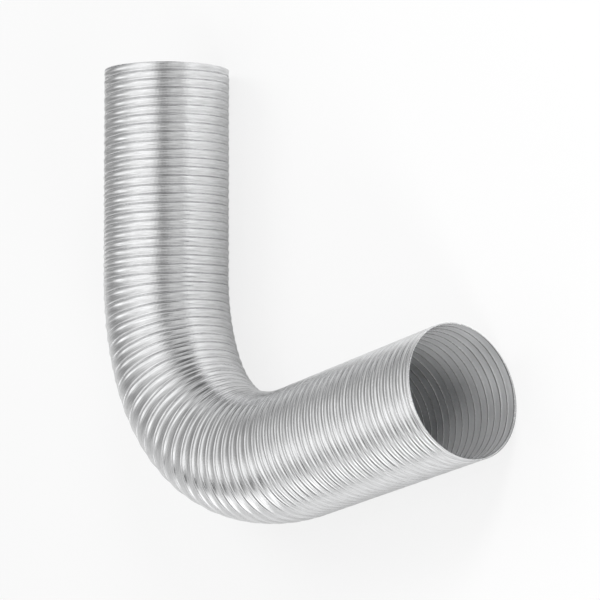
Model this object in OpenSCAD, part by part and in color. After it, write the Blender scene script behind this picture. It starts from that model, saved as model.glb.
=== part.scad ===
// Semi-rigid flexible duct of one folded strip, set in a smooth bend and lying on its side.
// Lengths in mm. The path starts at the inlet's first groove, runs along +x and turns towards +y.

/* [Folds] */
// Bore that a spigot slides into, across the groove roots
bore_d = 125.4; // [122:0.2:130]
// Distance from one groove to the next, along the straight runs and the bend's inside
fold_pitch = 9; // [8.4:0.1:10]
// Height of a seam's crown over the bore's radius
crown_h = 2.1; // [1.9:0.05:2.4]
// Thickness of the strip between two seams
sheet = 0.55; // [0.45:0.05:0.6]

/* [Path] */
// Folds in the straight run behind the inlet
inlet_folds = 23; // [12:1:30]
// Folds in the straight run before the outlet
outlet_folds = 25; // [12:1:32]
// Folds in each of the two easy arcs
easy_folds = 8; // [4:1:9]
// Folds in the tight arc between them
tight_folds = 9; // [5:1:11]
// Radius of the path in the easy arcs
easy_r = 233; // [200:1:300]
// Radius of the path in the tight arc
tight_r = 152; // [140:1:185]

/* [Hidden] */
$fn = 96;

bore_r = bore_d / 2;
crown_r = bore_r + crown_h;

// One seam with its groove, measured along the path from the seam's middle
seam_half = 3.4;
groove_at = -1.55;
groove_top = 1.3;
groove_foot = 0.5;
groove_wall = 0.6;
land = 1.1;
land_foot = 1.9;
lip_w = 0.5;
lip_h = 0.1;
shoulder_h = 0.35;
inside_drop = 0.12;

// The strip between two seams
band_drop = 0.3;
band_r = crown_r - shoulder_h - band_drop;
band_crown = 0.15;
inside_r = band_r - sheet - band_drop;

// A seam of the bend: the foot of its groove, its bead, and how its strip overlaps it
foot_r = bore_r + groove_wall;
foot_from = -2.8;
bead_at = groove_at + groove_top / 2;
bead_edge = 0.4;
bead_slope = 0.15;
ring_inside = 0.05;
strip_inside = 0.1;
joint = 0.1;

// Bare strip past the seams at both cut ends, and how far its inside opens there
inlet_lip = 5.55;
outlet_lip = 3.4;
flare = 0.1;

// Outside of a seam from its upstream to its downstream end, as [along, radius]
function seam_outside(x, steps = 6) =
    let (lip_r = crown_r - shoulder_h + lip_h,
         start = groove_at + groove_top / 2,
         width = seam_half - start)
    concat(
        [[x - seam_half, lip_r - lip_h],
         [x - seam_half + lip_w, lip_r],
         [x + groove_at - groove_top / 2, lip_r - lip_h],
         [x + groove_at - groove_foot / 2, foot_r],
         [x + groove_at + groove_foot / 2, foot_r]],
        [for (i = [0 : steps])
            [x + start + width * i / steps,
             crown_r - shoulder_h * pow(2 * i / steps - 1, 2)]]);

// Inside of a seam, in the same order, with the flat land that a spigot slides on
function seam_inside(x) =
    [[x - seam_half, inside_r],
     [x + groove_at - land_foot / 2, inside_r - inside_drop],
     [x + groove_at - land / 2, bore_r],
     [x + groove_at + land / 2, bore_r],
     [x + groove_at + land_foot / 2, inside_r - inside_drop],
     [x + seam_half, inside_r]];

// Crowned strip between two seams whose middles are x and one pitch on
function strip_side(x, r) =
    [[x + seam_half, r], [x + fold_pitch / 2, r + band_crown], [x + fold_pitch - seam_half, r]];

function backwards(list) = [for (i = [len(list) - 1 : -1 : 0]) list[i]];

// Section of a straight run: one side as the outline of all its seams and strips
function run_side(folds, outer) =
    [for (i = [0 : folds])
        each concat(outer ? seam_outside(i * fold_pitch) : seam_inside(i * fold_pitch),
                    i < folds ? strip_side(i * fold_pitch, outer ? band_r : band_r - sheet) : [])];

// Turn a section drawn as [along, radius] about the path, which leaves along +x
module about_path(section) {
    rotate([0, 90, 0]) rotate_extrude() polygon([for (p = section) [p[1], p[0]]]);
}

// Straight run from a seam at the start to a seam the given folds on, with bare strip past each end
module straight_run(folds, lip_before, lip_after) {
    start = -seam_half;
    end = folds * fold_pitch + seam_half;
    inner_r = band_r - sheet;
    about_path(concat(
        lip_before > 0 ? [[start - lip_before, inner_r + flare], [start - lip_before, band_r],
                          [start, band_r]] : [],
        run_side(folds, true),
        lip_after > 0 ? [[end, band_r], [end + lip_after, band_r],
                         [end + lip_after, inner_r + flare], [end, inner_r]] : [],
        backwards(run_side(folds, false)),
        lip_before > 0 ? [[start, inner_r]] : []));
}

// Stretch of a ball's outline about the path, at radius r in its middle
module zone(from, to, r, slope = 0) {
    middle = (from + to) / 2 + slope * r;
    intersection() {
        translate([0, middle]) circle(norm([r, slope * r]));
        translate([0, from]) square([2 * crown_r, to - from]);
    }
}

// Turn a section drawn as [radius, along] about the path, less its inside
module hollow_about_path(from, to, inner) {
    rotate([0, 90, 0]) rotate_extrude() difference() {
        children();
        zone(from - 1, to + 1, inner);
    }
}

// One seam of the bend: a bead on the foot of the groove before it
module seam() {
    crown_at = (seam_half + bead_at) / 2;
    hollow_about_path(foot_from, seam_half, bore_r + ring_inside) {
        zone(foot_from, bead_at + 0.1, foot_r);
        zone(bead_at, crown_at, crown_r - bead_edge / 2, bead_slope);
        zone(crown_at, seam_half, crown_r - bead_edge / 2, -bead_slope);
    }
}

// What a groove of the bend leaves open
module groove() {
    hollow_about_path(bead_at - groove_top, bead_at, foot_r)
    zone(bead_at - groove_top, bead_at, crown_r + 1);
}

// Turn of one fold, so that its pitch holds along the bend's inside
function fold_turn(r) = fold_pitch / (r - crown_r) * 180 / PI;

// Heading and place of seam n of the bend, counted from the inlet run's last one
function heading(radii, n) = n == 0 ? 0 : fold_turn(radii[n - 1]) + heading(radii, n - 1);
function place(radii, n) =
    n == 0 ? [0, 0]
    : let (a = heading(radii, n - 1), b = heading(radii, n))
      place(radii, n - 1) + radii[n - 1] * [sin(b) - sin(a), cos(a) - cos(b)];

module at_seam(radii, n) {
    translate(place(radii, n)) rotate([0, 0, heading(radii, n)]) children();
}

// Strip of an arc, from one seam's middle to just before another's
module arc_strip(r, folds) {
    translate([0, r, 0]) rotate([0, 0, -90]) rotate_extrude(angle = folds * fold_turn(r) - joint)
    translate([r, 0]) difference() { circle(band_r); circle(foot_r - strip_inside); }
}

// The bend between the two straight runs
module bend(radii) {
    last = len(radii);
    difference() {
        union() {
            arc_strip(easy_r, easy_folds);
            at_seam(radii, easy_folds) arc_strip(tight_r, tight_folds);
            at_seam(radii, last - easy_folds) arc_strip(easy_r, easy_folds);
            for (n = [1 : last - 1]) at_seam(radii, n) seam();
        }
        for (n = [1 : last]) at_seam(radii, n) groove();
    }
}

module duct() {
    easy = [for (i = [1 : easy_folds]) easy_r];
    tight = [for (i = [1 : tight_folds]) tight_r];
    radii = concat(easy, tight, easy);
    color("silver") translate([-groove_at, 0, 0]) {
        straight_run(inlet_folds, inlet_lip, 0);
        translate([inlet_folds * fold_pitch, 0, 0]) {
            bend(radii);
            at_seam(radii, len(radii)) straight_run(outlet_folds, 0, outlet_lip);
        }
    }
}

duct();
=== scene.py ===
"""Flexible aluminium duct: one folded strip wound into a corrugated tube, set in a smooth bend."""

import math
import typing

import bmesh
import bpy
from mathutils import Matrix, Vector, noise


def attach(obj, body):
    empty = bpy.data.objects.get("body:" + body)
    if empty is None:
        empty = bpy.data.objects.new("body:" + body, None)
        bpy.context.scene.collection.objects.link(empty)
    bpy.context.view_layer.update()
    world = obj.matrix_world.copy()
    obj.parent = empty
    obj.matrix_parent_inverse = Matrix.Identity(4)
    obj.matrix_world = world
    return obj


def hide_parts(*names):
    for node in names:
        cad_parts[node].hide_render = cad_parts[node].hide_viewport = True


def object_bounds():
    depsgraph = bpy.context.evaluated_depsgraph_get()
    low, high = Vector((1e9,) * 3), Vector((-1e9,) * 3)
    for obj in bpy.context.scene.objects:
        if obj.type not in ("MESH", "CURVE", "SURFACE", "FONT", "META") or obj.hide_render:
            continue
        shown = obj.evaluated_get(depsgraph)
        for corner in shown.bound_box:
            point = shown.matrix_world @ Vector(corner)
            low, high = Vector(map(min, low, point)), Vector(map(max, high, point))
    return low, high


bl_info = {
    "name": "Flexible aluminium duct",
    "version": (1, 0, 0),
    "blender": (4, 5, 0),
    "location": "View3D > Sidebar > Duct",
    "description": "Corrugated aluminium duct in a bend, with its studio",
    "category": "Mesh",
}

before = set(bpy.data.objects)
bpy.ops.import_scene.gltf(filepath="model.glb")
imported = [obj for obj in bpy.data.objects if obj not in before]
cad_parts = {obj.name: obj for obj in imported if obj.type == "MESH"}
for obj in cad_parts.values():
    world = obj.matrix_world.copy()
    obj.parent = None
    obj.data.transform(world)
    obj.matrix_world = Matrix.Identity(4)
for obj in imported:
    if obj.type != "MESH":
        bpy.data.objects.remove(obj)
CAD_BOX = [list(corner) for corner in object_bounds()]
LOW, HIGH = (Vector(corner) for corner in CAD_BOX)
MM = 0.001
FULL_TURN = 2 * math.pi
BODY = "root"
NODE = "duct"
CROWN_R = (HIGH.z - LOW.z) / 2
INLET_EDGE = Vector((LOW.x, 0, 0))


class DuctSizes(bpy.types.PropertyGroup):
    """Sizes of the folded strip and of the path that it was bent to."""

    crown_r: bpy.props.FloatProperty(
        name="Crown radius", description="Radius over the seams' crowns",
        default=CROWN_R, unit="LENGTH")
    pitch: bpy.props.FloatProperty(
        name="Fold pitch", description="From one groove to the next on a straight run",
        default=9 * MM, unit="LENGTH")
    lip_before: bpy.props.FloatProperty(
        name="Inlet lip", description="From the inlet's cut edge to its first seam's middle",
        default=8.95 * MM, unit="LENGTH")
    lip_after: bpy.props.FloatProperty(
        name="Outlet lip", description="From the outlet's last seam's middle to its cut edge",
        default=6.8 * MM, unit="LENGTH")
    inlet_folds: bpy.props.IntProperty(
        name="Inlet folds", description="Folds in the straight run behind the inlet", default=23)
    outlet_folds: bpy.props.IntProperty(
        name="Outlet folds", description="Folds in the straight run before the outlet", default=25)
    easy_folds: bpy.props.IntProperty(
        name="Easy folds", description="Folds in each easy arc", default=8)
    tight_folds: bpy.props.IntProperty(
        name="Tight folds", description="Folds in the tight arc", default=9)
    easy_r: bpy.props.FloatProperty(
        name="Easy radius", description="Radius of the path in the easy arcs",
        default=233 * MM, unit="LENGTH")
    tight_r: bpy.props.FloatProperty(
        name="Tight radius", description="Radius of the path in the tight arc",
        default=152 * MM, unit="LENGTH")
    steps: bpy.props.IntProperty(
        name="Steps", description="Facets round the outside", default=96)
    steps_inside: bpy.props.IntProperty(
        name="Steps inside", description="Facets round the inside", default=80)


class DuctFinish(bpy.types.PropertyGroup):
    """Colours and polish of the metal and its studio."""

    metal: bpy.props.FloatVectorProperty(
        name="Metal", description="Bare aluminium", subtype="COLOR", size=3,
        default=(0.86, 0.865, 0.872))
    # Painted shade: the colour that the metal is darkened to deep in a groove, where shade falls
    painted_fold_shade: bpy.props.FloatVectorProperty(
        name="Fold shade", description="Aluminium deep in a groove", subtype="COLOR", size=3,
        default=(0.66, 0.66, 0.67))
    polish: bpy.props.FloatProperty(
        name="Roughness", description="Roughness of the rolled strip", default=0.20)
    floor: bpy.props.FloatVectorProperty(
        name="Floor", description="Matt paper floor", subtype="COLOR", size=3,
        default=(0.62, 0.62, 0.62))


class Side(typing.NamedTuple):
    """Section and finish of one side of the strip."""

    rows: tuple
    metallic: float
    relief: dict
    shade: float
    tone: tuple
    band: float
    polish: float


# The rows give one fold, from its groove to the next. The first seven and the last three stand at
# a place along their seam in mm, and the three between them at a share of the way from seam to
# seam. Then come the depth under the crown in mm, and how much of the row is groove, bead and band.
# The relief is the amount of each fine mark, and its last entry thins out the grooves' painted
# shade.
# The groove share of a row takes a painted shade. The shade is how much of the painted fold shade
# lies deep in a groove, the tone is that of the darkest and the lightest streak, and band and polish
# are what is added to the tone between the seams and to the roughness.
SEAM_FROM, SEAM_TO = -3.4 * MM, 3.4 * MM
SEAM_ROWS, BAND_ROWS = 7, 3
MID_BAND = SEAM_ROWS + BAND_ROWS // 2
MASKS = ("groove", "bead", "band")
OUTSIDE = Side(
    rows=(
        (-1.55, 1.50, 1.0, 0, 0),
        (-1.20, 1.34, 0.9, 0, 0),
        (-0.92, 0.62, 0.2, 0.3, 0),
        (-0.35, 0.20, 0, 1, 0),
        (0.70, 0.00, 0, 1, 0),
        (2.00, 0.12, 0, 1, 0),
        (3.10, 0.52, 0, 0.3, 0),
        (0.06, 0.70, 0, 0, 0.6),
        (0.50, 0.60, 0, 0, 1),
        (0.94, 0.64, 0, 0, 0.6),
        (-2.95, 0.46, 0, 0.2, 0),
        (-2.25, 0.58, 0.2, 0, 0),
        (-1.90, 1.34, 0.9, 0, 0),
    ),
    metallic=1.0,
    relief={"Lines": 1.0, "Crimp": 0.8, "Streaks": 1.4, "Dents": 9.0, "ShadeGaps": 1.0},
    shade=1.0, tone=(0.78, 1.13), band=-0.14, polish=0.0)
INSIDE = Side(
    rows=(
        (-1.55, 1.70, 1.0, 0, 0),
        (-1.35, 1.56, 1.0, 0, 0),
        (-1.12, 1.20, 0.6, 0.3, 0),
        (-0.35, 1.08, 0, 1, 0),
        (0.70, 1.00, 0, 1, 0),
        (2.00, 1.03, 0, 1, 0),
        (3.10, 1.14, 0, 0.3, 0),
        (0.06, 1.16, 0, 0, 0.6),
        (0.50, 1.08, 0, 0, 1),
        (0.94, 1.12, 0, 0, 0.6),
        (-2.95, 1.10, 0, 0.2, 0),
        (-1.98, 1.18, 0.4, 0, 0),
        (-1.75, 1.56, 1.0, 0, 0),
    ),
    metallic=0.65,
    relief={"Lines": 0.9, "Crimp": 0.9, "Streaks": 0.9, "Dents": 6.0, "ShadeGaps": 0.0},
    shade=0.12, tone=(0.98, 1.06), band=-0.04, polish=-0.05)

# Turns of the helix past each end, which the cuts take away again
TURNS_EXTRA = 2

# Two kinds of unevenness: dents, and waves that run along the strip. Each has its height and how
# fast it changes round the tube, from fold to fold, or across a fold.
DENT_HEIGHT, DENT_ROUND, DENT_FOLDS, DENT_ACROSS = 0.21 * MM, 1.6, 1.7, 1.9
WAVE_HEIGHT, WAVE_ALONG, WAVE_ACROSS, WAVE_START = 0.15 * MM, 0.35, 2.3, 7.1

# Rolled edge of a mouth: half its length, how much deeper it is, and its facets
HEM, HEM_DEEPER, HEM_SIDES = 0.42 * MM, 1.25, 10

# Cells in a metre along the strip and across it, and detail, of each cloud on the strip
CLOUDS = {
    "wander": (16, 90, 2.0),
    "streak": (60, 1000, 3.0),
    "dents": (48, 220, 1.0),
    "wear": (9, 320, 3.0),
    "open": (17, 70, 1.0),
}
CLOUD_ROUGHNESS = 0.6

# Fine relief: spacing of the rolling lines and of the crimp marks, how far both wander, the share
# of the lines that is left on the beads, and the bump's strength and depth
LINE_PITCH, CRIMP_PITCH = 1.25 * MM, 1.35 * MM
WANDER = 1.6
LINES_ON_BEAD = 0.25
RELIEF_STRENGTH, RELIEF_DEPTH = 0.55, 0.03 * MM

# How sharply a groove's painted shade changes from full to none along the strip
SHADE_GAP_CONTRAST = 3.2

# Spread of the streaks and of the wear, the roughness that wear takes or gives, and the beads'
STREAK_SPREAD, WEAR_SPREAD = (0.3, 0.7), (0.25, 0.75)
WORN_SMOOTH, WORN_ROUGH = -0.05, 0.08
BEAD_POLISH = -0.06

# Cut edge: cells in a metre, tones against the metal, the lightest tone, and roughness
EDGE_CELLS, EDGE_DETAIL = 260.0, 3.0
EDGE_TONES, EDGE_LIGHTEST = (0.85, 1.05), 0.95
EDGE_ROUGHNESS = (0.18, 0.34)


class Path:
    """The duct's centre line, measured in folds from the inlet's first seam."""

    def __init__(self, sizes):
        self.pitch = sizes.pitch
        self.start = sizes.lip_before + INLET_EDGE.x
        self.inlet = sizes.inlet_folds
        radii = (sizes.easy_r, sizes.tight_r, sizes.easy_r)
        counts = (sizes.easy_folds, sizes.tight_folds, sizes.easy_folds)
        self.arcs = []
        at, heading, fold = Vector((self.start + self.inlet * self.pitch, 0)), 0.0, self.inlet
        for radius, count in zip(radii, counts):
            step = self.pitch / (radius - sizes.crown_r)
            self.arcs.append((fold, count, radius, step, at.copy(), heading))
            at += along_arc(radius, heading, heading + count * step)
            heading += count * step
            fold += count
        self.bend_end, self.at_end, self.heading_end = fold, at, heading
        outlet, heading = self.station(self.bend_end + sizes.outlet_folds)
        self.outlet_edge = (outlet + sizes.lip_after * turned(heading)).to_3d()

    def station(self, fold):
        """Place and heading of the path at a number of folds."""
        if fold <= self.inlet:
            return Vector((self.start + fold * self.pitch, 0)), 0.0
        if fold >= self.bend_end:
            reach = (fold - self.bend_end) * self.pitch
            return self.at_end + reach * turned(self.heading_end), self.heading_end
        for first, count, radius, step, at, heading in self.arcs:
            if fold <= first + count:
                now = heading + (fold - first) * step
                return at + along_arc(radius, heading, now), now
        raise ValueError(f"no station at fold {fold}")

    def point(self, fold, along, radius, angle):
        """A point that sits rigidly in a seam's own frame."""
        at, heading = self.station(fold)
        onward = turned(heading)
        side = Vector((-onward.y, onward.x))
        flat = at + along * onward + radius * math.cos(angle) * side
        return Vector((flat.x, flat.y, radius * math.sin(angle)))


def turned(angle):
    """Unit vector at an angle in the floor's plane."""
    return Vector((math.cos(angle), math.sin(angle)))


def along_arc(radius, heading, now):
    """Way along an arc from one heading to another."""
    return radius * (turned(now - math.pi / 2) - turned(heading - math.pi / 2))


def unevenness(fold, angle, place):
    """Small hand-formed unevenness of a fold, in metres."""
    dent = Vector((math.cos(angle) * DENT_ROUND, math.sin(angle) * DENT_ROUND,
                   fold * DENT_FOLDS + place * DENT_ACROSS))
    wave = Vector(((FULL_TURN * fold + angle) * WAVE_ALONG, place * WAVE_ACROSS, WAVE_START))
    return DENT_HEIGHT * noise.noise(dent) + WAVE_HEIGHT * noise.noise(wave)


def strip_point(path, crown_r, fold, angle, row, rows):
    """Place of one point of the strip, and its real distance from the groove before it."""
    along, depth = rows[row][0], rows[row][1] * MM
    radius = crown_r - depth + unevenness(fold, angle, row / len(rows))
    groove = rows[0][0] * MM
    if row < SEAM_ROWS:
        return path.point(fold, along * MM, radius, angle), along * MM - groove
    begin = path.point(fold, SEAM_TO, radius, angle)
    end = path.point(fold + 1, SEAM_FROM, radius, angle)
    width = (end - begin).length
    if row < SEAM_ROWS + BAND_ROWS:
        return begin.lerp(end, along), SEAM_TO - groove + along * width
    return (path.point(fold + 1, along * MM, radius, angle),
            SEAM_TO - groove + width + along * MM - SEAM_FROM)


def spun_strip(sizes, steps, size):
    """Helix of the strip in its own terms: x counts folds, y and z lie on a circle."""
    bm = bmesh.new()
    folds = (sizes.inlet_folds + 2 * sizes.easy_folds + sizes.tight_folds
             + sizes.outlet_folds + 2 * TURNS_EXTRA)
    chain = [bm.verts.new((index / size - TURNS_EXTRA, 1, 0)) for index in range(folds * size)]
    edges = [bm.edges.new(pair) for pair in zip(chain, chain[1:])]
    bmesh.ops.spin(
        bm, geom=chain + edges, cent=(0, 0, 0), axis=(1, 0, 0), dvec=(1 / steps, 0, 0),
        angle=FULL_TURN, steps=steps)
    bmesh.ops.remove_doubles(bm, verts=bm.verts, dist=1e-4)
    return bm


def strip_terms(bm, size):
    """Each vertex's angle round the tube, and its row, counted on from fold to fold."""
    terms = {}
    for vert in bm.verts:
        angle = math.atan2(vert.co.z, vert.co.y) % FULL_TURN
        if FULL_TURN - angle < 1e-4:
            angle = 0.0
        terms[vert] = (angle, round((vert.co.x - angle / FULL_TURN) * size))
    return terms


def map_face(face, uv_layer, terms, places, crown_r, rows):
    """Unroll one face on the strip's own map, in metres along the strip and across it."""
    size = len(rows)
    corners = [terms[loop.vert] for loop in face.loops]
    if max(angle for angle, row in corners) > 1.5 * math.pi:
        corners = [(angle + FULL_TURN, row - size) if angle < 1 else (angle, row)
                   for angle, row in corners]
    turn = min(row for angle, row in corners) // size
    last_step = (rows[0][0] - rows[-1][0]) * MM
    for loop, (angle, row) in zip(face.loops, corners):
        reach = places[loop.vert][1]
        if row == (turn + 1) * size:
            reach = max(places[corner.vert][1] for corner in face.loops) + last_step
        loop[uv_layer].uv = ((turn * FULL_TURN + angle) * crown_r, reach)


def shape_strip(bm, sizes, path, rows):
    """Lay the spun helix along the bent path and map it, so that finishes follow the strip."""
    size = len(rows)
    uv_layer = bm.loops.layers.uv.new("strip")
    layers = [bm.verts.layers.float.new(name) for name in MASKS]
    terms, places = strip_terms(bm, size), {}
    for vert, (angle, place) in terms.items():
        turn, row = divmod(place, size)
        fold = turn + angle / FULL_TURN
        places[vert] = strip_point(path, sizes.crown_r, fold, angle, row, rows)
        for layer, value in zip(layers, rows[row][2:]):
            vert[layer] = value
    for face in bm.faces:
        map_face(face, uv_layer, terms, places, sizes.crown_r, rows)
    for vert, (co, reach) in places.items():
        vert.co = co


def cut_mouths(bm, path):
    """Trim the helix square at both mouths."""
    cuts = ((INLET_EDGE, Vector((-1, 0, 0))),
            (path.outlet_edge, turned(path.heading_end).to_3d()))
    for place, outward in cuts:
        bmesh.ops.bisect_plane(
            bm, geom=bm.verts[:] + bm.edges[:] + bm.faces[:], dist=1e-6,
            plane_co=place, plane_no=outward, clear_outer=True)


def face_away(bm, inlet_end, inward):
    """Turn all faces away from the axis, or towards it, judged on the run behind the inlet."""
    bmesh.ops.recalc_face_normals(bm, faces=bm.faces)
    away = 0.0
    for face in bm.faces:
        centre = face.calc_center_median()
        if centre.x < inlet_end:
            away += face.normal.dot(Vector((0, centre.y, centre.z)))
    if (away < 0) != inward:
        bmesh.ops.reverse_faces(bm, faces=bm.faces)


def to_object(bm, name, material):
    """Turn a bmesh into an object of the scene with one material."""
    mesh = bpy.data.meshes.new(name)
    bm.to_mesh(mesh)
    bm.free()
    mesh.materials.append(material)
    thing = bpy.data.objects.new(name, mesh)
    bpy.context.collection.objects.link(thing)
    return thing


def to_piece(bm, name, material):
    """Turn a bmesh into a smooth piece of the duct that rides on the body."""
    piece = to_object(bm, name, material)
    piece.data.shade_smooth()
    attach(piece, BODY)
    return piece


def skin(sizes, name, steps, side, inward, material):
    """The strip's outside or its inside, as one skin."""
    path = Path(sizes)
    bm = spun_strip(sizes, steps, len(side.rows))
    shape_strip(bm, sizes, path, side.rows)
    cut_mouths(bm, path)
    face_away(bm, path.start + path.inlet * path.pitch, inward)
    return to_piece(bm, name, material)


def rim(sizes, name, edge, heading, inset, material):
    """The rolled-over cut edge of a mouth, closing the outside to the inside."""
    middle = (OUTSIDE.rows[MID_BAND][1] + INSIDE.rows[MID_BAND][1]) / 2 * MM
    bm = bmesh.new()
    ring = bmesh.ops.create_circle(bm, segments=HEM_SIDES, radius=HEM)["verts"]
    bmesh.ops.scale(bm, verts=ring, vec=(1, HEM_DEEPER, 1))
    bmesh.ops.translate(bm, verts=ring, vec=(0, sizes.crown_r - middle, 0))
    bmesh.ops.spin(bm, geom=ring + bm.edges[:], cent=(0, 0, 0), axis=(1, 0, 0),
                   angle=FULL_TURN, steps=sizes.steps * 2, use_merge=True)
    bmesh.ops.recalc_face_normals(bm, faces=bm.faces)
    place = (Matrix.Translation(edge) @ Matrix.Rotation(heading, 4, "Z")
             @ Matrix.Translation((inset, 0, 0)))
    bmesh.ops.transform(bm, matrix=place, verts=bm.verts)
    return to_piece(bm, name, material)


def add(nodes, kind, **values):
    """A node with its settings, and its inputs by name."""
    node = nodes.new(kind)
    for key, value in values.items():
        if hasattr(node, key):
            setattr(node, key, value)
        else:
            node.inputs[key].default_value = value
    return node


def maths(tree, operation, *values, clamp=False):
    """Result of a maths node on sockets and numbers."""
    node = add(tree.nodes, "ShaderNodeMath", operation=operation, use_clamp=clamp)
    for socket, value in zip(node.inputs, values):
        if isinstance(value, (int, float)):
            socket.default_value = value
        else:
            tree.links.new(value, socket)
    return node.outputs[0]


def ramp(tree, value, spread, results, interpolation="LINEAR"):
    """A value carried over from one range to another."""
    node = add(tree.nodes, "ShaderNodeMapRange", interpolation_type=interpolation)
    labels = ("From Min", "From Max", "To Min", "To Max")
    for label, number in zip(labels, (*spread, *results)):
        node.inputs[label].default_value = number
    tree.links.new(value, node.inputs["Value"])
    return node.outputs["Result"]


def new_material(name):
    """A material, its node tree and its Principled shader."""
    material = bpy.data.materials.new(name)
    material.use_nodes = True
    return material, material.node_tree, material.node_tree.nodes["Principled BSDF"]


def cloud(tree, place, along, across, detail):
    """Noise on the strip's map, with so many cells in a metre along the strip and across it."""
    scale = add(tree.nodes, "ShaderNodeVectorMath", operation="MULTIPLY")
    scale.inputs[1].default_value = (along, across, 1)
    tree.links.new(place, scale.inputs[0])
    node = add(tree.nodes, "ShaderNodeTexNoise",
               Scale=1.0, Detail=detail, Roughness=CLOUD_ROUGHNESS)
    tree.links.new(scale.outputs[0], node.inputs["Vector"])
    return node.outputs["Fac"]


def wave(tree, distance, pitch, wander):
    """Even waves over a distance, pushed about by a wander."""
    phase = maths(tree, "MULTIPLY", distance, FULL_TURN / pitch)
    return maths(tree, "SINE", maths(tree, "ADD", phase, wander))


def strip_height(tree, place, clouds, band, amounts):
    """Height of the rolling lines, the crimp marks, the streaks and the dents."""
    split = tree.nodes.new("ShaderNodeSeparateXYZ")
    tree.links.new(place, split.inputs[0])
    wander = maths(tree, "MULTIPLY", clouds["wander"], WANDER)
    lines = wave(tree, split.outputs["Y"], LINE_PITCH, wander)
    on_band = maths(tree, "MULTIPLY_ADD", band, 1 - LINES_ON_BEAD, LINES_ON_BEAD)
    height = maths(tree, "MULTIPLY", maths(tree, "MULTIPLY", lines, on_band), amounts["Lines"])
    marks = {
        "Crimp": wave(tree, split.outputs["X"], CRIMP_PITCH, wander),
        "Streaks": maths(tree, "SUBTRACT", clouds["streak"], 0.5),
        "Dents": maths(tree, "SUBTRACT", clouds["dents"], 0.5),
    }
    for label, mark in marks.items():
        height = maths(tree, "MULTIPLY_ADD", mark, amounts[label], height)
    return height


def rolled_strip_group():
    """Rolling lines along the strip, crimp marks across it and the folds' own polish."""
    name = "rolled_strip"
    if name in bpy.data.node_groups:
        return bpy.data.node_groups[name]
    group = bpy.data.node_groups.new(name, "ShaderNodeTree")
    for label in OUTSIDE.relief:
        socket = group.interface.new_socket(label, in_out="INPUT", socket_type="NodeSocketFloat")
        socket.default_value = 1.0
    given = group.nodes.new("NodeGroupInput").outputs
    place = add(group.nodes, "ShaderNodeUVMap", uv_map="strip").outputs["UV"]
    clouds = {label: cloud(group, place, *terms) for label, terms in CLOUDS.items()}
    groove, bead, band = (
        add(group.nodes, "ShaderNodeAttribute", attribute_name=mask).outputs["Fac"]
        for mask in MASKS)
    # Share of each groove's painted shade that is laid on, thinned out in patches along the strip
    open_share = maths(group, "SUBTRACT", maths(group, "MULTIPLY", clouds["open"], SHADE_GAP_CONTRAST),
                       given["ShadeGaps"], clamp=True)
    results = {
        "Height": strip_height(group, place, clouds, band, given),
        "Wear": clouds["wear"],
        "Streak": clouds["streak"],
        # Mask of the painted shade in the grooves
        "GrooveShade": maths(group, "MULTIPLY", groove, open_share),
        "Bead": bead,
        "Band": band,
    }
    for label in results:
        group.interface.new_socket(label, in_out="OUTPUT", socket_type="NodeSocketFloat")
    out = group.nodes.new("NodeGroupOutput")
    for label, value in results.items():
        group.links.new(value, out.inputs[label])
    return group


def strip_colour(tree, strip, finish, side):
    """Bare metal with a painted shade in the grooves, darker between the seams, and streaked."""
    # Painted shade: the metal mixed towards the painted fold shade where a groove is
    deep = add(tree.nodes, "ShaderNodeMix", data_type="RGBA")
    deep.inputs["A"].default_value = (*finish.metal, 1)
    deep.inputs["B"].default_value = (*[value * side.shade for value in finish.painted_fold_shade], 1)
    tree.links.new(strip["GrooveShade"], deep.inputs["Factor"])
    streaked = ramp(tree, strip["Streak"], STREAK_SPREAD, side.tone)
    tone = maths(tree, "MULTIPLY_ADD", strip["Band"], side.band, streaked)
    tinted = add(tree.nodes, "ShaderNodeVectorMath", operation="SCALE")
    tree.links.new(deep.outputs["Result"], tinted.inputs[0])
    tree.links.new(tone, tinted.inputs["Scale"])
    return tinted.outputs[0]


def aluminium(name, finish, side):
    """Rolled bright aluminium strip, duller between the seams, with a painted shade deep in the
    folds.
    """
    material, tree, shader = new_material(name)
    shader.inputs["Metallic"].default_value = side.metallic
    strip = add(tree.nodes, "ShaderNodeGroup", node_tree=rolled_strip_group(), **side.relief).outputs
    tree.links.new(strip_colour(tree, strip, finish, side), shader.inputs["Base Color"])
    polish = finish.polish + side.polish
    worn = ramp(tree, strip["Wear"], WEAR_SPREAD, (polish + WORN_SMOOTH, polish + WORN_ROUGH))
    polished = maths(tree, "MULTIPLY_ADD", strip["Bead"], BEAD_POLISH, worn)
    tree.links.new(polished, shader.inputs["Roughness"])
    bump = add(tree.nodes, "ShaderNodeBump", Strength=RELIEF_STRENGTH, Distance=RELIEF_DEPTH)
    tree.links.new(strip["Height"], bump.inputs["Height"])
    tree.links.new(bump.outputs[0], shader.inputs["Normal"])
    return material


def cut_edge(finish):
    """Bright sheared and rolled edge of the strip."""
    material, tree, shader = new_material("cut_edge")
    shader.inputs["Metallic"].default_value = 1.0
    place = tree.nodes.new("ShaderNodeTexCoord")
    patches = add(tree.nodes, "ShaderNodeTexNoise", Scale=EDGE_CELLS, Detail=EDGE_DETAIL)
    tree.links.new(place.outputs["Object"], patches.inputs["Vector"])
    tone = add(tree.nodes, "ShaderNodeMix", data_type="RGBA")
    for label, share in zip("AB", EDGE_TONES):
        colour = [min(value * share, EDGE_LIGHTEST) for value in finish.metal]
        tone.inputs[label].default_value = (*colour, 1)
    tree.links.new(patches.outputs["Fac"], tone.inputs["Factor"])
    tree.links.new(tone.outputs["Result"], shader.inputs["Base Color"])
    worn = ramp(tree, patches.outputs["Fac"], (0, 1), EDGE_ROUGHNESS)
    tree.links.new(worn, shader.inputs["Roughness"])
    return material


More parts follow.
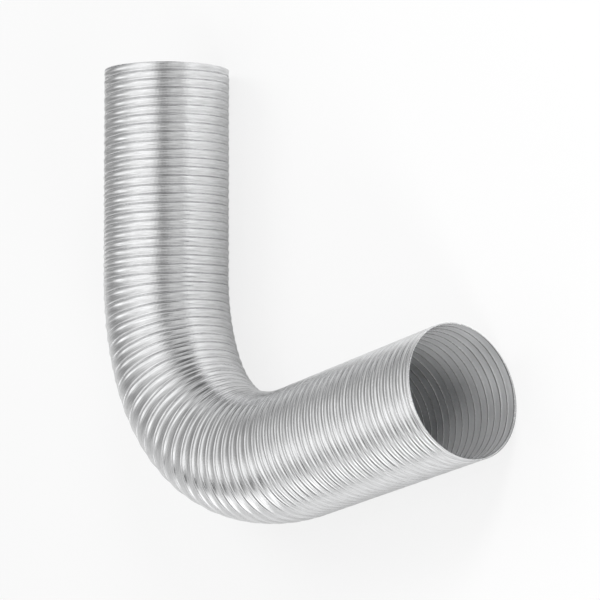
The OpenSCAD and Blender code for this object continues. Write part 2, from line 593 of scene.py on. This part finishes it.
# The photograph's view: its places in metres, lens and sensor in mm, and how far from the camera
# it shows
CAMERA_AT = Vector((0.46673, 2.36387, 1.74203))
LOOK_AT = Vector((0.24421, 0.21867, 0.0))
CAMERA_ROLL = math.radians(-86.34)
LENS, SENSOR = 171.41, 36.0
CLIP_NEAR, CLIP_FAR = 0.1, 50

# Floor's radius in metres, and the place that it and the lamps are set about
FLOOR_R = 9.0
CENTRE = Vector((0.24, 0.20, 0.0))
FLOOR_SIDES = 96
PAPER_ROUGHNESS, PAPER_GLOSS = 0.9, 0.1

# Times that light goes from wall to wall inside the duct
INSIDE_BOUNCES = 10

# Share of white that the camera and the metal see in the floor's paper
FLOOR_TO_CAMERA, FLOOR_TO_METAL = 0.78, 0.05

# The room that the metal mirrors: its walls, its ceiling, the heights between which one passes into
# the other, and the brighter and darker places in them, as azimuth, elevation, half width in
# degrees and how much brighter.
ROOM_WALL, ROOM_CEILING = 0.66, 1.10
ROOM_RISE = (0.35, 1.0)
ROOM_PLACES = (
    (94, 43, 17, -0.60),
    (66, 42, 16, -0.44),
    (122, 42, 16, -0.44),
    (26, 22, 30, -0.55),
    (165, 14, 30, -0.55),
    (-110, 38, 46, -0.38),
    (-70, 44, 16, 0.50),
    (-46, 29, 17, -0.75),
    (-36, 6, 28, 0.90),
)

# Grey card that stands beyond the inlet run: middle, width and height in metres, brightness
CARD_AT, CARD_SIZE, CARD_VALUE = Vector((0.035, -0.5, 0.13)), (0.23, 0.40), 0.40

# Softboxes: azimuth, elevation, distance and width in metres, and watts
LAMPS = {
    "key_lamp": (-140, 50, 2.4, 1.4, 18),
    "fill_lamp": (48, 14, 2.2, 0.7, 36),
    "mouth_lamp": (134, 30, 2.2, 0.7, 30),
}


def place_camera():
    """The photograph's view, on a long lens and looking down at the duct on the floor."""
    data = bpy.data.cameras.new("camera")
    data.sensor_width, data.lens = SENSOR, LENS
    data.clip_start, data.clip_end = CLIP_NEAR, CLIP_FAR
    camera = bpy.data.objects.new("camera", data)
    bpy.context.collection.objects.link(camera)
    aim = (LOOK_AT - CAMERA_AT).to_track_quat("-Z", "Y")
    roll = Matrix.Rotation(CAMERA_ROLL, 4, "Z")
    camera.matrix_world = Matrix.Translation(CAMERA_AT) @ aim.to_matrix().to_4x4() @ roll
    bpy.context.scene.camera = camera


def floor_paper(finish):
    """Matt paper that shows the camera and the metal a share of plain white."""
    material, tree, shader = new_material("floor_paper")
    shader.inputs["Base Color"].default_value = (*finish.floor, 1)
    shader.inputs["Roughness"].default_value = PAPER_ROUGHNESS
    shader.inputs["Specular IOR Level"].default_value = PAPER_GLOSS
    glow = add(tree.nodes, "ShaderNodeEmission", Strength=1.0)
    seen = tree.nodes.new("ShaderNodeLightPath").outputs
    to_camera = maths(tree, "MULTIPLY", seen["Is Camera Ray"], FLOOR_TO_CAMERA)
    to_metal = maths(tree, "MULTIPLY", seen["Is Glossy Ray"], FLOOR_TO_METAL)
    mix = tree.nodes.new("ShaderNodeMixShader")
    tree.links.new(maths(tree, "MAXIMUM", to_camera, to_metal), mix.inputs[0])
    tree.links.new(shader.outputs[0], mix.inputs[1])
    tree.links.new(glow.outputs[0], mix.inputs[2])
    tree.links.new(mix.outputs[0], tree.nodes["Material Output"].inputs["Surface"])
    return material


def grey_card_paper():
    """Flat grey, seen only in the metal."""
    material, tree, shader = new_material("grey_card")
    tree.nodes.remove(shader)
    glow = add(tree.nodes, "ShaderNodeEmission", Strength=1.0)
    glow.inputs["Color"].default_value = (CARD_VALUE, CARD_VALUE, CARD_VALUE, 1)
    tree.links.new(glow.outputs[0], tree.nodes["Material Output"].inputs["Surface"])
    return material


def lay_floor(finish):
    """Pale paper that the duct lies on."""
    bm = bmesh.new()
    bmesh.ops.create_circle(bm, cap_ends=True, segments=FLOOR_SIDES, radius=FLOOR_R)
    bmesh.ops.translate(bm, verts=bm.verts, vec=(CENTRE.x, CENTRE.y, LOW.z))
    to_object(bm, "floor", floor_paper(finish))


def stand_card():
    """A grey card outside the view, which the metal mirrors."""
    bm = bmesh.new()
    bmesh.ops.create_grid(bm, x_segments=1, y_segments=1, size=0.5)
    bmesh.ops.scale(bm, verts=bm.verts, vec=(*CARD_SIZE, 1))
    place = Matrix.Translation(CARD_AT) @ Matrix.Rotation(math.radians(-90), 4, "X")
    bmesh.ops.transform(bm, verts=bm.verts, matrix=place)
    card = to_object(bm, "grey_card", grey_card_paper())
    card.visible_camera = card.visible_diffuse = card.visible_shadow = False


def towards(azimuth, elevation):
    """Unit vector of a direction, with azimuth from +X towards +Y in degrees."""
    flat = turned(math.radians(azimuth)) * math.cos(math.radians(elevation))
    return Vector((flat.x, flat.y, math.sin(math.radians(elevation))))


def light_room():
    """A pale room, brightest overhead, with brighter and darker places in its walls."""
    world = bpy.data.worlds.new("room")
    bpy.context.scene.world = world
    world.use_nodes = True
    tree = world.node_tree
    place = tree.nodes.new("ShaderNodeTexCoord").outputs["Generated"]
    split = tree.nodes.new("ShaderNodeSeparateXYZ")
    tree.links.new(place, split.inputs[0])
    light = ramp(tree, split.outputs["Z"], ROOM_RISE, (ROOM_WALL, ROOM_CEILING), "SMOOTHSTEP")
    for azimuth, elevation, half_width, amount in ROOM_PLACES:
        facing = add(tree.nodes, "ShaderNodeVectorMath", operation="DOT_PRODUCT")
        tree.links.new(place, facing.inputs[0])
        facing.inputs[1].default_value = towards(azimuth, elevation)
        spread = (math.cos(math.radians(half_width)), 1.0)
        patch = ramp(tree, facing.outputs["Value"], spread, (0, amount), "SMOOTHSTEP")
        light = maths(tree, "ADD", light, patch)
    seen = tree.nodes.new("ShaderNodeLightPath")
    shown = maths(tree, "MAXIMUM", light, seen.outputs["Is Camera Ray"])
    tree.links.new(shown, tree.nodes["Background"].inputs["Strength"])
    tree.nodes["Background"].inputs["Color"].default_value = (1, 1, 1, 1)


def hang_lamp(name, azimuth, elevation, distance, size, power):
    """A softbox that lights the floor and the duct's inside, and isn't mirrored."""
    data = bpy.data.lights.new(name, "AREA")
    data.shape, data.size, data.energy = "DISK", size, power
    lamp = bpy.data.objects.new(name, data)
    bpy.context.collection.objects.link(lamp)
    away = towards(azimuth, elevation)
    lamp.matrix_world = (Matrix.Translation(CENTRE + distance * away)
                         @ away.to_track_quat("Z", "Y").to_matrix().to_4x4())
    lamp.visible_glossy = False


class DUCT_OT_skin(bpy.types.Operator):
    """Make the folded strip's outside and inside"""

    bl_idname = "duct.skin"
    bl_label = "Folded strip"

    def execute(self, context):
        sizes, finish = context.scene.duct_sizes, context.scene.duct_finish
        outside = skin(sizes, "strip_outside", sizes.steps, OUTSIDE, False,
                       aluminium("aluminium_outside", finish, OUTSIDE))
        skin(sizes, "strip_inside", sizes.steps_inside, INSIDE, True,
             aluminium("aluminium_inside", finish, INSIDE))
        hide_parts(NODE)
        return {"FINISHED"}


class DUCT_OT_rims(bpy.types.Operator):
    """Make the cut edges of both mouths"""

    bl_idname = "duct.rims"
    bl_label = "Cut edges"

    def execute(self, context):
        sizes, finish = context.scene.duct_sizes, context.scene.duct_finish
        path, material = Path(sizes), cut_edge(finish)
        rim(sizes, "rim_inlet", INLET_EDGE, 0, HEM, material)
        rim(sizes, "rim_outlet", path.outlet_edge, path.heading_end, -HEM, material)
        return {"FINISHED"}


class DUCT_OT_studio(bpy.types.Operator):
    """Make the floor, the lights and the camera"""

    bl_idname = "duct.studio"
    bl_label = "Studio"

    def execute(self, context):
        context.scene.view_settings.view_transform = "Standard"
        context.scene.cycles.glossy_bounces = INSIDE_BOUNCES
        lay_floor(context.scene.duct_finish)
        light_room()
        stand_card()
        for name, terms in LAMPS.items():
            hang_lamp(name, *terms)
        place_camera()
        return {"FINISHED"}


class DUCT_PT_panel(bpy.types.Panel):
    """Buttons of the duct and its studio"""

    bl_idname = "DUCT_PT_panel"
    bl_label = "Flexible duct"
    bl_space_type = "VIEW_3D"
    bl_region_type = "UI"
    bl_category = "Duct"

    def draw(self, context):
        for operator in (DUCT_OT_skin, DUCT_OT_rims, DUCT_OT_studio):
            self.layout.operator(operator.bl_idname)


CLASSES = (DuctSizes, DuctFinish, DUCT_OT_skin, DUCT_OT_rims, DUCT_OT_studio, DUCT_PT_panel)


def register():
    """Add the classes, and the sizes and finish to the scene."""
    for cls in CLASSES:
        bpy.utils.register_class(cls)
    bpy.types.Scene.duct_sizes = bpy.props.PointerProperty(type=DuctSizes)
    bpy.types.Scene.duct_finish = bpy.props.PointerProperty(type=DuctFinish)


def unregister():
    """Take away what register added."""
    del bpy.types.Scene.duct_finish
    del bpy.types.Scene.duct_sizes
    for cls in reversed(CLASSES):
        bpy.utils.unregister_class(cls)


def main():
    """Make the duct and its studio."""
    register()
    bpy.ops.duct.skin()
    bpy.ops.duct.rims()
    bpy.ops.duct.studio()


if __name__ == "__main__":
    main()
